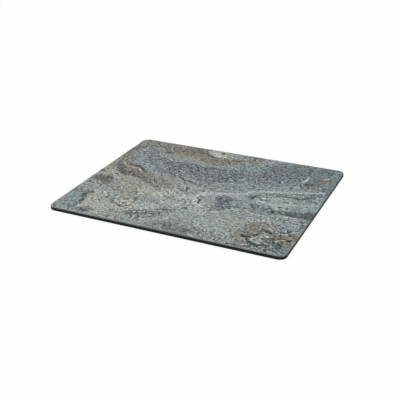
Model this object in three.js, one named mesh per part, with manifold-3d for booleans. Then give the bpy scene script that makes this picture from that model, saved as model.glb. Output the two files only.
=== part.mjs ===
// A flat, rimless melamine serving tray of half gastronorm size. Millimetres, +Z up.
// The origin is on the table under the tray's middle, X runs along the long side and -Y is the front.
// A black moulded body carries a printed sheet over its top and stands on four soft feet.

import * as THREE from "three";
import { mergeVertices, toCreasedNormals } from "three/addons/utils/BufferGeometryUtils.js";
import Module from "manifold-3d";

// The tray's outline
const TRAY_LENGTH = 325;
const TRAY_WIDTH = 265;
const CORNER_RADIUS = 10;

// The edge, from the underside of the rim to the serving face
const EDGE_HEIGHT = 5;
const SHOULDER_RADIUS = 0.8;
const HEEL_RADIUS = 0.6;
const WALL_DRAFT = THREE.MathUtils.degToRad(3);

// The printed sheet, which covers the serving face and wraps over the shoulder
const SHEET_THICKNESS = 0.4;

// The shallow recess under the tray, inside a flat rim
const RIM_WIDTH = 9;
const RECESS_DEPTH = 1;
const RECESS_CORNER_RADIUS = 6;
const RECESS_EDGE_RADIUS = 0.4;

// The feet, each stuck into a round seat in the recess
const STAND_HEIGHT = 1.2;
const FOOT_INSET = 32;
const FOOT_DIAMETER = 12;
const FOOT_CONTACT_DIAMETER = 11;
const FOOT_EDGE_RADIUS = 0.5;
const SEAT_DEPTH = 0.4;
const SEAT_CLEARANCE = 0.3;
const ADHESIVE_DIAMETER = 11;
const ADHESIVE_THICKNESS = 0.3;

// How finely the round stretches are divided
const CORNER_STEPS = 12;
const EDGE_STEPS = 4;
const ROUND_STEPS = 40;
const CREASE_ANGLE = THREE.MathUtils.degToRad(35);

// The share of a wall that the fillets at its two ends may each take
const LARGEST_FILLET_SHARE = 0.45;
// How far the seat cutters start below the recess
const CUT_OVERLAP = 0.5;

// Heights above the table
const rimLevel = STAND_HEIGHT;
const topLevel = rimLevel + EDGE_HEIGHT;
const lipLevel = topLevel - SHOULDER_RADIUS;
const recessLevel = rimLevel + RECESS_DEPTH;
const seatLevel = recessLevel + SEAT_DEPTH;
const footTopLevel = seatLevel - ADHESIVE_THICKNESS;

// The side wall leans in by its draft between the heel and the lip of the printed sheet.
const wallHeight = lipLevel - rimLevel;
const heelRadius = Math.min(HEEL_RADIUS, wallHeight * LARGEST_FILLET_SHARE);
const lipInset = (wallHeight - heelRadius) * Math.tan(WALL_DRAFT);
const shoulderInset = lipInset + SHOULDER_RADIUS;
const recessEdgeRadius = Math.min(RECESS_EDGE_RADIUS, RECESS_DEPTH * LARGEST_FILLET_SHARE);

const wasm = await Module();
wasm.setup();

// A solid for cutting, from a closed geometry.
function solidOf(geometry) {
  const bare = new THREE.BufferGeometry();
  bare.setAttribute("position", geometry.getAttribute("position").clone());
  bare.setIndex(geometry.getIndex());
  const merged = mergeVertices(bare);
  const mesh = new wasm.Mesh({
    numProp: 3,
    vertProperties: merged.getAttribute("position").array,
    triVerts: new Uint32Array(merged.getIndex().array),
  });
  return new wasm.Manifold(mesh);
}

function geometryOf(solid) {
  const { vertProperties, triVerts } = solid.getMesh();
  const geometry = new THREE.BufferGeometry();
  geometry.setAttribute("position", new THREE.BufferAttribute(vertProperties, 3));
  geometry.setIndex(new THREE.BufferAttribute(triVerts, 1));
  return geometry;
}

// A rounded rectangle, set in from the tray's outline, as a ring of points at one level.
function ringAt(inset, level, radius) {
  const x = TRAY_LENGTH / 2 - inset - radius;
  const y = TRAY_WIDTH / 2 - inset - radius;
  const quarter = Math.PI / 2;
  const outline = new THREE.Path();
  outline.absarc(x, y, radius, 0, quarter);
  outline.absarc(-x, y, radius, quarter, 2 * quarter);
  outline.absarc(-x, -y, radius, 2 * quarter, 3 * quarter);
  outline.absarc(x, -y, radius, 3 * quarter, 4 * quarter);
  // A path divides its arcs twice as finely as asked.
  return outline.getPoints(CORNER_STEPS / 2).map((p) => new THREE.Vector3(p.x, p.y, level));
}

// A round stretch of an edge section, as pairs of inset and level. An angle of zero points
// out of the tray, and a quarter turn points up.
function edgeArc(inset, level, radius, from, to) {
  const points = [];
  for (let step = 0; step <= EDGE_STEPS; step++) {
    const angle = THREE.MathUtils.degToRad(from + ((to - from) * step) / EDGE_STEPS);
    points.push([inset - radius * Math.cos(angle), level + radius * Math.sin(angle)]);
  }
  return points;
}

// Rings that follow the tray's outline and the recess's outline along a section.
function outerRings(section) {
  return section.map(([inset, level]) => ringAt(inset, level, CORNER_RADIUS - inset));
}

function recessRings(section) {
  const offset = RECESS_CORNER_RADIUS + RIM_WIDTH;
  return section.map(([inset, level]) => ringAt(inset, level, offset - inset));
}

// A closed skin through a stack of rings, with a flat face over the first and the last of them.
function loft(rings) {
  const count = rings[0].length;
  const faces = [];
  for (let ring = 0; ring < rings.length - 1; ring++) {
    for (let i = 0; i < count; i++) {
      const a = ring * count + i;
      const b = ring * count + ((i + 1) % count);
      faces.push(a, b, b + count);
      faces.push(a, b + count, a + count);
    }
  }
  const last = (rings.length - 1) * count;
  for (const [a, b, c] of THREE.ShapeUtils.triangulateShape(rings[0], [])) {
    faces.push(c, b, a);
    faces.push(last + a, last + b, last + c);
  }
  return new THREE.BufferGeometry().setFromPoints(rings.flat()).setIndex(faces);
}

// The shoulder's section at a given depth under the print's surface, from the lip upwards.
function shoulderSection(depth) {
  const radius = Math.max(SHOULDER_RADIUS - depth, SHOULDER_RADIUS * (1 - 2 * LARGEST_FILLET_SHARE));
  const inset = lipInset + depth + radius;
  return edgeArc(inset, topLevel - depth - radius, radius, 0, 90);
}

function disc(diameter, height) {
  const radius = diameter / 2;
  const geometry = new THREE.CylinderGeometry(radius, radius, height, ROUND_STEPS);
  return geometry.rotateX(Math.PI / 2).translate(0, 0, height / 2);
}

// The middle of each foot, by name.
function footPlaces() {
  const x = TRAY_LENGTH / 2 - FOOT_INSET;
  const y = TRAY_WIDTH / 2 - FOOT_INSET;
  return [
    ["front_left", -x, -y],
    ["front_right", x, -y],
    ["back_left", -x, y],
    ["back_right", x, y],
  ];
}

// The body runs from the recess, over its rim, up the drafted side and over the rebate for the
// sheet to the face that the sheet lies on.
function trayBodyGeometry() {
  const r = recessEdgeRadius;
  const recess = [
    ...edgeArc(RIM_WIDTH + r, recessLevel - r, r, 90, 0),
    ...edgeArc(RIM_WIDTH - r, rimLevel + r, r, 180, 270),
  ];
  const side = [
    ...edgeArc(heelRadius, rimLevel + heelRadius, heelRadius, -90, 0),
    [lipInset, lipLevel],
    ...shoulderSection(SHEET_THICKNESS),
  ];
  let body = solidOf(loft([...recessRings(recess), ...outerRings(side)]));
  for (const [, x, y] of footPlaces()) {
    const seat = disc(FOOT_DIAMETER + 2 * SEAT_CLEARANCE, CUT_OVERLAP + SEAT_DEPTH);
    seat.translate(x, y, recessLevel - CUT_OVERLAP);
    body = body.subtract(solidOf(seat));
  }
  return geometryOf(body);
}

// The sheet is a thin shell: its inner face matches the body, and its outer face is the print.
function printedSheetGeometry() {
  const inner = shoulderSection(SHEET_THICKNESS).reverse();
  const outer = shoulderSection(0);
  return loft(outerRings([...inner, ...outer]));
}

function footGeometry() {
  const top = FOOT_DIAMETER / 2;
  const edge = Math.min(FOOT_EDGE_RADIUS, footTopLevel * LARGEST_FILLET_SHARE);
  const flat = FOOT_CONTACT_DIAMETER / 2 - edge;
  const profile = new THREE.Path();
  profile.moveTo(0, 0);
  profile.lineTo(flat, 0);
  profile.absarc(flat, edge, edge, -Math.PI / 2, 0);
  profile.lineTo(top, footTopLevel);
  profile.lineTo(0, footTopLevel);
  const geometry = new THREE.LatheGeometry(profile.getPoints(EDGE_STEPS / 2), ROUND_STEPS);
  return geometry.rotateX(Math.PI / 2);
}

function adhesiveGeometry() {
  return disc(ADHESIVE_DIAMETER, ADHESIVE_THICKNESS);
}

function blackMelamine() {
  return new THREE.MeshStandardMaterial({ color: 0x1f1f20, roughness: 0.5, metalness: 0 });
}

function stonePrint() {
  return new THREE.MeshStandardMaterial({ color: 0x868b8a, roughness: 0.45, metalness: 0 });
}

function softSilicone() {
  return new THREE.MeshStandardMaterial({ color: 0x2b2b2c, roughness: 0.8, metalness: 0 });
}

function acrylicAdhesive() {
  return new THREE.MeshStandardMaterial({ color: 0xc9c6bd, roughness: 0.6, metalness: 0 });
}

function namedMesh(name, geometry, material) {
  const mesh = new THREE.Mesh(toCreasedNormals(geometry, CREASE_ANGLE), material);
  mesh.name = name;
  return mesh;
}

const tray = new THREE.Group();
tray.name = "melamine_tray";
tray.add(namedMesh("tray_body", trayBodyGeometry(), blackMelamine()));
tray.add(namedMesh("printed_sheet", printedSheetGeometry(), stonePrint()));
for (const [place, x, y] of footPlaces()) {
  const foot = namedMesh("foot_" + place, footGeometry(), softSilicone());
  foot.position.set(x, y, 0);
  const adhesive = namedMesh("adhesive_" + place, adhesiveGeometry(), acrylicAdhesive());
  adhesive.position.set(x, y, footTopLevel);
  tray.add(foot, adhesive);
}

export default tray;
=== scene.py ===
# %% [markdown]
# A flat melamine serving tray: a black pressed slab, a printed stone pattern over its top, and soft
# feet under it. The first cell brings in the measured solids. This lesson gives the body, the print
# and the feet a finer skin, gives every solid its finish, and sets up the camera and the light of a
# plain studio picture.

# %% Load the measured solids
import math
from collections import namedtuple

import bmesh
import bpy
from mathutils import Matrix, Vector


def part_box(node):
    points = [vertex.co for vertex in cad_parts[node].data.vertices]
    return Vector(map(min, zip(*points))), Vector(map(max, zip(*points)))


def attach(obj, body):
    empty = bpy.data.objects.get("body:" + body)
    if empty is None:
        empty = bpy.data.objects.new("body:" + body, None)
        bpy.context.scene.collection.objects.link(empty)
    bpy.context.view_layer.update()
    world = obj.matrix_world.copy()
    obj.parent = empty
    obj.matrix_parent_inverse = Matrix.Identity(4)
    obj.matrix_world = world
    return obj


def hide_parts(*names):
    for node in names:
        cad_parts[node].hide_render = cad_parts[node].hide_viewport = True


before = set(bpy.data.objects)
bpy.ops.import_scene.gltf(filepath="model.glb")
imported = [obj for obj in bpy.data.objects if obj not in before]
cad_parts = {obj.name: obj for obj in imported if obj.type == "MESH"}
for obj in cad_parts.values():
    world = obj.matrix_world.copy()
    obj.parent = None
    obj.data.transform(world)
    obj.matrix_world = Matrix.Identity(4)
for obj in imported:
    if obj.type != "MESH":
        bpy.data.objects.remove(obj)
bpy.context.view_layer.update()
scene = bpy.context.scene
MM = 0.001
print("solids:", sorted(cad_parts))

# %% [markdown]
# The camera stands in front of the tray's right-hand corner and looks down at a flat angle. It could be
# aimed by hand or with a Track To constraint, but numbers match a picture best. They were found by laying
# the tray's outline over the picture until the straight edges met, so the lens is written as a focal
# length in pixels of a picture 400 pixels wide.

# %% Camera
PICTURE_SIDE_PX = 400
FOCAL_LENGTH_PX = 723.8
SENSOR_WIDTH_MM = 36.0
CAMERA_AZIMUTH = math.radians(25.2)
CAMERA_ELEVATION = math.radians(25.93)
CAMERA_ROLL = math.radians(-0.57)
CAMERA_DISTANCE = 991.0 * MM
AIM_RIGHT = -4.5 * MM
AIM_UP = -10.9 * MM
NEAREST_SEEN = 10 * MM


def camera_axes():
    """Right, up and backward directions of the camera in the tray's frame."""
    level = math.cos(CAMERA_ELEVATION)
    back = Vector((
        math.sin(CAMERA_AZIMUTH) * level,
        -math.cos(CAMERA_AZIMUTH) * level,
        math.sin(CAMERA_ELEVATION),
    ))
    right = Vector((math.cos(CAMERA_AZIMUTH), math.sin(CAMERA_AZIMUTH), 0.0))
    right = Matrix.Rotation(CAMERA_ROLL, 3, back) @ right
    return right, back.cross(right), back


def add_camera():
    right, up, back = camera_axes()
    lens = bpy.data.cameras.new("picture_camera")
    lens.sensor_width = SENSOR_WIDTH_MM
    lens.lens = SENSOR_WIDTH_MM * FOCAL_LENGTH_PX / PICTURE_SIDE_PX
    lens.clip_start = NEAREST_SEEN
    camera = bpy.data.objects.new("picture_camera", lens)
    turn = Matrix((right, up, back)).transposed().to_4x4()
    spot = right * AIM_RIGHT + up * AIM_UP + back * CAMERA_DISTANCE
    camera.matrix_world = Matrix.Translation(spot) @ turn
    scene.collection.objects.link(camera)
    scene.camera = camera
    return camera


camera = add_camera()
scene.view_settings.view_transform = "Standard"
print("lens in mm:", round(camera.data.lens, 2))

# %% [markdown]
# Every finish here is a node tree. It could be wired by hand in the shader editor, but a tree written as
# code can be read and changed in one place. A few small helpers keep it short: one adds a node and sets or
# links its inputs, two do arithmetic, one makes a soft step between two levels and one mixes two colours.

# %% Node helpers
def add_node(tree, kind, inputs=None, **settings):
    """A new node. Each input is a number or colour to set, or another node's output to link."""
    node = tree.nodes.new(kind)
    for name, value in settings.items():
        setattr(node, name, value)
    for name, value in (inputs or {}).items():
        if isinstance(value, bpy.types.NodeSocket):
            tree.links.new(value, node.inputs[name])
        else:
            node.inputs[name].default_value = value
    return node


def maths(tree, operation, first, second=0.0, third=0.0):
    """Arithmetic on numbers."""
    inputs = {0: first, 1: second, 2: third}
    return add_node(tree, "ShaderNodeMath", inputs, operation=operation).outputs[0]


def vector_maths(tree, operation, first, second, third=(0, 0, 0)):
    """Arithmetic on places and colours."""
    inputs = {0: first, 1: second, 2: third}
    return add_node(tree, "ShaderNodeVectorMath", inputs, operation=operation).outputs[0]


def soft_step(tree, value, low, high, at_low, at_high):
    """One level below low, another above high, and a smooth change between them."""
    inputs = {"Value": value, "From Min": low, "From Max": high, "To Min": at_low, "To Max": at_high}
    # A smooth step keeps to its two levels by itself, so it needs no clamp.
    step = add_node(tree, "ShaderNodeMapRange", inputs, interpolation_type="SMOOTHSTEP", clamp=False)
    return step.outputs[0]


def mixed(tree, share, first, second):
    """Two colours, mixed by a share of the second."""
    inputs = {"Factor": share, "A": first, "B": second}
    return add_node(tree, "ShaderNodeMix", inputs, data_type="RGBA").outputs["Result"]


def cleared_tree(owner):
    """The node tree of a material or a world, without the nodes it starts with."""
    owner.use_nodes = True
    owner.node_tree.nodes.clear()
    return owner.node_tree


def new_material(name):
    material = bpy.data.materials.new(name)
    tree = cleared_tree(material)
    shader = add_node(tree, "ShaderNodeBsdfPrincipled")
    add_node(tree, "ShaderNodeOutputMaterial", {"Surface": shader.outputs[0]})
    return material, tree, shader


# %% [markdown]
# The picture is a plain studio one, on a white floor. More light would make a grey floor white, but it
# would bleach the tray too. So the floor itself is almost white, and Light Path lightens it further for the
# rays that come straight from the camera. It still carries the tray's soft shadow.

# %% Floor
FLOOR_SIDE = 6.0
FLOOR_SHADE = 0.97
FLOOR_LIGHTENING = 0.94


def add_floor():
    mesh = bpy.data.meshes.new("floor")
    half = FLOOR_SIDE / 2
    corners = [(-half, -half, 0), (half, -half, 0), (half, half, 0), (-half, half, 0)]
    mesh.from_pydata(corners, [], [(0, 1, 2, 3)])
    floor = bpy.data.objects.new("floor", mesh)
    scene.collection.objects.link(floor)
    material = bpy.data.materials.new("white_floor")
    tree = cleared_tree(material)
    matt = add_node(tree, "ShaderNodeBsdfDiffuse", {"Color": (FLOOR_SHADE,) * 3 + (1.0,)})
    bright = add_node(tree, "ShaderNodeEmission", {"Color": (1, 1, 1, 1), "Strength": 1.0})
    path = add_node(tree, "ShaderNodeLightPath")
    share = maths(tree, "MULTIPLY", path.outputs["Is Camera Ray"], FLOOR_LIGHTENING)
    mix = add_node(tree, "ShaderNodeMixShader", {0: share, 1: matt.outputs[0], 2: bright.outputs[0]})
    add_node(tree, "ShaderNodeOutputMaterial", {"Surface": mix.outputs[0]})
    mesh.materials.append(material)
    return floor


floor = add_floor()
print("floor in m:", tuple(floor.dimensions))

# %% [markdown]
# The light is even and soft. A lamp alone would leave hard shadows, so the world lights the tray a little
# below full, and a wide soft lamp overhead makes up the rest. Together they render a colour about as it is
# written. The camera and the tray's gloss meet a pure white surround, whatever the world's own strength.

# %% Surround and lamp
SURROUND_LIGHT = 0.74
LAMP_SIDE = 1.6
LAMP_SPOT = Vector((-0.4, 0.3, 1.5))
LAMP_WATTS = 6.0


def add_surround():
    world = bpy.data.worlds.new("white_surround")
    tree = cleared_tree(world)
    path = add_node(tree, "ShaderNodeLightPath")
    shown = maths(tree, "MAXIMUM", path.outputs["Is Camera Ray"], path.outputs["Is Glossy Ray"])
    shown = maths(tree, "MAXIMUM", shown, path.outputs["Is Transmission Ray"])
    strength = maths(tree, "MULTIPLY_ADD", shown, 1.0 - SURROUND_LIGHT, SURROUND_LIGHT)
    light = add_node(tree, "ShaderNodeBackground", {"Color": (1, 1, 1, 1), "Strength": strength})
    add_node(tree, "ShaderNodeOutputWorld", {"Surface": light.outputs[0]})
    scene.world = world


def add_lamp():
    light = bpy.data.lights.new("overhead_softbox", "AREA")
    light.shape = "SQUARE"
    light.size = LAMP_SIDE
    light.energy = LAMP_WATTS
    lamp = bpy.data.objects.new("overhead_softbox", light)
    lamp.location = LAMP_SPOT
    lamp.rotation_euler = (-LAMP_SPOT).to_track_quat("-Z", "Y").to_euler()
    scene.collection.objects.link(lamp)
    return lamp


add_surround()
lamp = add_lamp()
print("lamp:", lamp.data.energy, "W, surround:", SURROUND_LIGHT)

# %% [markdown]
# The slab's skins are lofts: rounded rectangles, one above the other, joined ring by ring. A box with a
# bevel would come close, but a loft takes the drafted side, the two unequal edge radii and the rebate
# under the sheet in one go. The main sizes come from the solids' own boxes, so the skins fit them.

# %% Sizes of the slab
body_low, body_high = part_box("tray_body")
print_low, print_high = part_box("printed_sheet")
HALF_LENGTH = body_high.x
HALF_WIDTH = body_high.y
TOP_LEVEL = print_high.z
LIP_LEVEL = print_low.z
RIM_LEVEL = body_low.z
LIP_INSET = HALF_LENGTH - print_high.x
SHOULDER_RADIUS = TOP_LEVEL - LIP_LEVEL
SHEET_THICKNESS = TOP_LEVEL - body_high.z
CORNER_RADIUS = 10 * MM
CORNER_STEPS = 32
EDGE_STEPS = 8
print("slab height in mm:", round((TOP_LEVEL - RIM_LEVEL) / MM, 2))
print("sheet in mm:", round(SHEET_THICKNESS / MM, 2))

# %% [markdown]
# A loft needs two curves: the round stretches of the edge's section, and the outline that they follow. Both
# are worked out point by point here. The skin is then built with bmesh, which takes faces one at a time.

# %% Lofting helpers
def edge_arc(inset, level, radius, start, end):
    """Points of a round edge as inset and level: 0 degrees points outward, 90 degrees up."""
    points = []
    for step in range(EDGE_STEPS + 1):
        angle = math.radians(start + (end - start) * step / EDGE_STEPS)
        points.append((inset - radius * math.cos(angle), level + radius * math.sin(angle)))
    return points


def outline(inset, radius):
    """A rounded rectangle, set in from the slab's outline, counter-clockwise."""
    points = []
    for quarter, (x_side, y_side) in enumerate([(1, 1), (-1, 1), (-1, -1), (1, -1)]):
        x = x_side * (HALF_LENGTH - inset - radius)
        y = y_side * (HALF_WIDTH - inset - radius)
        for step in range(CORNER_STEPS + 1):
            angle = math.pi / 2 * (quarter + step / CORNER_STEPS)
            points.append((x + radius * math.cos(angle), y + radius * math.sin(angle)))
    return points


def new_piece(name, skin):
    """An object with this skin as its mesh."""
    mesh = bpy.data.meshes.new(name)
    skin.to_mesh(mesh)
    skin.free()
    piece = bpy.data.objects.new(name, mesh)
    scene.collection.objects.link(piece)
    return piece


def loft(name, rings):
    """A closed skin through rings of (outline, level), with a flat face at each end."""
    skin = bmesh.new()
    rows = [[skin.verts.new((x, y, level)) for x, y in points] for points, level in rings]
    for lower, upper in zip(rows, rows[1:]):
        for i in range(len(lower)):
            after = (i + 1) % len(lower)
            skin.faces.new((lower[i], lower[after], upper[after], upper[i]))
    skin.faces.new(list(reversed(rows[0])))
    skin.faces.new(rows[-1])
    return new_piece(name, skin)


def shade_smooth(piece, sharp_degrees=40):
    """Smooth shading, with an edge kept sharp where its faces meet at more than this angle."""
    mesh = piece.data
    mesh.polygons.foreach_set("use_smooth", [True] * len(mesh.polygons))
    mesh.set_sharp_from_angle(angle=math.radians(sharp_degrees))


def stand_for(piece, node):
    """The piece takes the solid's place and moves with the tray."""
    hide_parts(node)
    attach(piece, "root")


print("points round the slab:", len(outline(0, CORNER_RADIUS)))

# %% [markdown]
# The body is one pressing. Its section runs from the ceiling of the shallow recess underneath, over the
# flat rim, round the heel, up the drafted side and over the rebate that the sheet lies on. The four foot
# seats are then cut with a Boolean modifier, which leaves crisp round edges without hand-made topology.

# %% Moulded body
RIM_WIDTH = 9 * MM
RECESS_DEPTH = 1 * MM
RECESS_CORNER_RADIUS = 6 * MM
RECESS_EDGE_RADIUS = 0.4 * MM
HEEL_RADIUS = 0.6 * MM
SEAT_CLEARANCE = 0.3 * MM
SEAT_STEPS = 96
FOOT_NAMES = [side + "_" + hand for side in ("front", "back") for hand in ("left", "right")]


def shoulder(depth):
    """The section of the shoulder, at a depth under the print's surface."""
    return edge_arc(LIP_INSET + SHOULDER_RADIUS, LIP_LEVEL, SHOULDER_RADIUS - depth, 0, 90)


def body_rings():
    r = RECESS_EDGE_RADIUS
    recess = edge_arc(RIM_WIDTH + r, RIM_LEVEL + RECESS_DEPTH - r, r, 90, 0)
    recess += edge_arc(RIM_WIDTH - r, RIM_LEVEL + r, r, 180, 270)
    side = edge_arc(HEEL_RADIUS, RIM_LEVEL + HEEL_RADIUS, HEEL_RADIUS, -90, 0)
    side += [(LIP_INSET, LIP_LEVEL)] + shoulder(SHEET_THICKNESS)
    rings = [(outline(i, RECESS_CORNER_RADIUS + RIM_WIDTH - i), level) for i, level in recess]
    return rings + [(outline(i, CORNER_RADIUS - i), level) for i, level in side]


def seat_cutter():
    """Four discs, a little wider than the feet, that reach up to the top of the adhesive."""
    skin = bmesh.new()
    for name in FOOT_NAMES:
        low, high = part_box("foot_" + name)
        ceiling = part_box("adhesive_" + name)[1].z
        radius = (high.x - low.x) / 2 + SEAT_CLEARANCE
        middle = ((low.x + high.x) / 2, (low.y + high.y) / 2, ceiling / 2)
        bmesh.ops.create_cone(
            skin, cap_ends=True, segments=SEAT_STEPS, radius1=radius, radius2=radius,
            depth=ceiling, matrix=Matrix.Translation(middle),
        )
    return new_piece("seat_cutter", skin)


def make_moulded_body():
    piece = loft("moulded_body", body_rings())
    cutter = seat_cutter()
    cut = piece.modifiers.new("foot_seats", "BOOLEAN")
    cut.operation = "DIFFERENCE"
    cut.solver = "EXACT"
    cut.object = cutter
    with bpy.context.temp_override(object=piece):
        bpy.ops.object.modifier_apply(modifier=cut.name)
    bpy.data.objects.remove(cutter)
    shade_smooth(piece)
    stand_for(piece, "tray_body")
    return piece


moulded_body = make_moulded_body()
print("moulded body faces:", len(moulded_body.data.polygons))

# %% [markdown]
# The printed sheet wraps from the flat top over the shoulder and ends in a lip on the side. Its inner
# face lies on the body, so only the outer face shows. Its texture map looks straight down, which gives
# the whole face of the print one even scale, and the hidden inner face goes in a strip beside it.

# %% Printed sheet
MAP_STRIP = 0.83
FACES_DOWN = -0.01


def map_from_above(piece):
    """A flat texture map of the outer face, with the inner face squeezed into the strip that is left."""
    layer = piece.data.uv_layers.new(name="OFBake")
    length = 2 * HALF_LENGTH
    for face in piece.data.polygons:
        inner = face.normal.z < FACES_DOWN
        for corner in face.loop_indices:
            x, y, _ = piece.data.vertices[piece.data.loops[corner].vertex_index].co
            u, v = (x + HALF_LENGTH) / length, (y + HALF_WIDTH) / length
            if inner:
                v = MAP_STRIP + v * (1 - MAP_STRIP)
            layer.data[corner].uv = (u, v)


def make_printed_skin():
    section = list(reversed(shoulder(SHEET_THICKNESS))) + shoulder(0)
    rings = [(outline(inset, CORNER_RADIUS - inset), level) for inset, level in section]
    piece = loft("printed_skin", rings)
    shade_smooth(piece)
    map_from_above(piece)
    stand_for(piece, "printed_sheet")
    return piece


printed_skin = make_printed_skin()
print("printed skin faces:", len(printed_skin.data.polygons))

# %% [markdown]
# The feet are small silicone buttons. A cylinder with a bevel would do from afar, but the side of a real
# one widens upwards. So each is a profile spun round its own axis: a flat contact face, a rounded edge, a
# leaning side, and a flat top on the adhesive.

# %% Feet
FOOT_STEPS = 64
CONTACT_RADIUS = 5.5 * MM
FOOT_EDGE_RADIUS = 0.5 * MM
MERGE_DISTANCE = MM / 1000


def foot_profile(radius, height):
    points = [(0.0, 0.0)]
    flat = CONTACT_RADIUS - FOOT_EDGE_RADIUS
    for step in range(EDGE_STEPS + 1):
        angle = math.pi / 2 * step / EDGE_STEPS
        across = flat + FOOT_EDGE_RADIUS * math.sin(angle)
        points.append((across, FOOT_EDGE_RADIUS * (1 - math.cos(angle))))
    return points + [(radius, height), (0.0, height)]


def make_foot(name):
    low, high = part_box("foot_" + name)
    middle = Vector(((low.x + high.x) / 2, (low.y + high.y) / 2, 0.0))
    skin = bmesh.new()
    profile = [skin.verts.new((x, 0, z)) for x, z in foot_profile((high.x - low.x) / 2, high.z)]
    edges = [skin.edges.new(pair) for pair in zip(profile, profile[1:])]
    bmesh.ops.spin(
        skin, geom=profile + edges, cent=(0, 0, 0), axis=(0, 0, 1),
        angle=2 * math.pi, steps=FOOT_STEPS, use_merge=True,
    )
    bmesh.ops.remove_doubles(skin, verts=skin.verts, dist=MERGE_DISTANCE)
    bmesh.ops.recalc_face_normals(skin, faces=skin.faces)
    bmesh.ops.translate(skin, verts=skin.verts, vec=middle)
    piece = new_piece("silicone_foot_" + name, skin)
    shade_smooth(piece)
    stand_for(piece, "foot_" + name)
    return piece


silicone_feet = [make_foot(name) for name in FOOT_NAMES]
print("feet:", [piece.name for piece in silicone_feet])

# %% [markdown]
# The print copies a slab of weathered stone. No single noise looks like that, so the pattern is laid
# down as a painter would: a mottled ground, broad stains, long bands and veins, and last the fine grain.
# A stain is an ellipse, with its middle and half sizes in millimetres and its turn in degrees. Its
# softness is how far it fades on either side of its rim, as a share of its half size. Two dot products
# measure the place along its two axes, and a soft step over the distance from its middle gives its share
# of colour. The place carries a one as its third number, so a dot product can take in the ellipse's own
# origin.

# %% How a stain is drawn
Stain = namedtuple("Stain", "colour middle half strength softness turn", defaults=(0.5, 0.5, 0))


def measured(tree, place, direction, origin):
    """How far the place is from an origin in one direction, in units of the direction's length."""
    inputs = {0: place, 1: (direction.x, direction.y, -direction.dot(origin))}
    return add_node(tree, "ShaderNodeVectorMath", inputs, operation="DOT_PRODUCT").outputs["Value"]


def stain_share(tree, place, stain):
    turn = math.radians(stain.turn)
    middle = Vector(stain.middle)
    x = measured(tree, place, Vector((math.cos(turn), math.sin(turn))) / stain.half[0], middle)
    y = measured(tree, place, Vector((-math.sin(turn), math.cos(turn))) / stain.half[1], middle)
    far = maths(tree, "SQRT", maths(tree, "MULTIPLY_ADD", x, x, maths(tree, "MULTIPLY", y, y)))
    return soft_step(tree, far, 1 - stain.softness, 1 + stain.softness, stain.strength, 0)


print("a stain has:", Stain._fields)

# %% [markdown]
# A band or vein could be a chain of stains, but that takes many nodes. Instead it is drawn in a frame along
# its own chord. One curve gives how far its middle line swings to the side, and another gives its half
# width, so a long vein needs only a handful of nodes. Its points, its half widths and its softness are in
# millimetres.

# %% How a band is drawn
Band = namedtuple("Band", "colour line half_widths strength softness")
END_TAPER = 0.05
LEAST_REACH = 1.0


def float_curve(tree, value, points):
    """A smooth curve through these points, read at the value."""
    node = add_node(tree, "ShaderNodeFloatCurve", {"Value": value})
    curve = node.mapping.curves[0]
    for _ in points[2:]:
        curve.points.new(0.5, 0.5)
    for point, spot in zip(curve.points, points):
        point.location = spot
        point.handle_type = "AUTO_CLAMPED"
    node.mapping.update()
    return node.outputs[0]


def band_share(tree, place, band):
    first = Vector(band.line[0])
    chord = Vector(band.line[-1]) - first
    along = chord / chord.length
    across = Vector((-along.y, along.x))
    offsets = [Vector(point) - first for point in band.line]
    steps = [offset.dot(along) / chord.length for offset in offsets]
    swings = [offset.dot(across) for offset in offsets]
    # A curve node works from 0 to 1, so the swings are scaled by their reach, and back again after it.
    reach = max(LEAST_REACH, *(abs(swing) for swing in swings))
    bends = [(step, 0.5 + swing / reach / 2) for step, swing in zip(steps, swings)]
    step = measured(tree, place, along / chord.length, first)
    middle = maths(tree, "MULTIPLY_ADD", float_curve(tree, step, bends), 2 * reach, -reach)
    off = maths(tree, "ABSOLUTE", maths(tree, "SUBTRACT", measured(tree, place, across, first), middle))
    widest = max(band.half_widths)
    sizes = [width / widest for width in band.half_widths]
    # The band tapers to nothing at both ends.
    taper = [(0, 0), (END_TAPER, sizes[0])] + list(zip(steps[1:-1], sizes[1:-1]))
    half = float_curve(tree, step, taper + [(1 - END_TAPER, sizes[-1]), (1, 0)])
    depth = maths(tree, "MULTIPLY_ADD", half, widest + band.softness / 2, -band.softness / 2)
    depth = maths(tree, "SUBTRACT", depth, off)
    return soft_step(tree, depth, -band.softness / 2, band.softness / 2, 0, band.strength)


print("a band has:", Band._fields)

# %% [markdown]
# Some twenty colours are enough: cool greys for the fresh stone, browns where iron has stained it, creams
# where the crust is pale, and near blacks for the cracks. They are written as they look on a screen, which
# is how one picks a colour, and are turned into light only at the end.

# %% Palette of the stone print
def screen(red, green, blue):
    """A colour as seen on a screen, 0 to 255, as shares of white."""
    return red / 255, green / 255, blue / 255, 1.0


STONE = {
    "ink": screen(40, 41, 44),
    "soot": screen(68, 70, 72),
    "slate": screen(86, 95, 102),
    "navy": screen(98, 108, 114),
    "steel": screen(99, 115, 120),
    "violet": screen(124, 128, 134),
    "blue_grey": screen(115, 132, 137),
    "halo": screen(125, 139, 140),
    "teal": screen(122, 144, 147),
    "ash": screen(136, 149, 152),
    "mist": screen(150, 161, 160),
    "chalk": screen(190, 197, 192),
    "white": screen(216, 220, 214),
    "cream": screen(175, 178, 165),
    "beige": screen(152, 150, 137),
    "sand": screen(148, 138, 117),
    "brown": screen(113, 109, 94),
    "umber": screen(96, 92, 83),
    "rust": screen(140, 115, 96),
    "gold": screen(168, 160, 138),
    "ochre": screen(150, 133, 106),
    "dove": screen(147, 151, 154),
}
print("stone colours:", len(STONE))

# %% [markdown]
# Along the back edge lies a brown drift with dark smears, and a pale crust near its middle.

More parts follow.
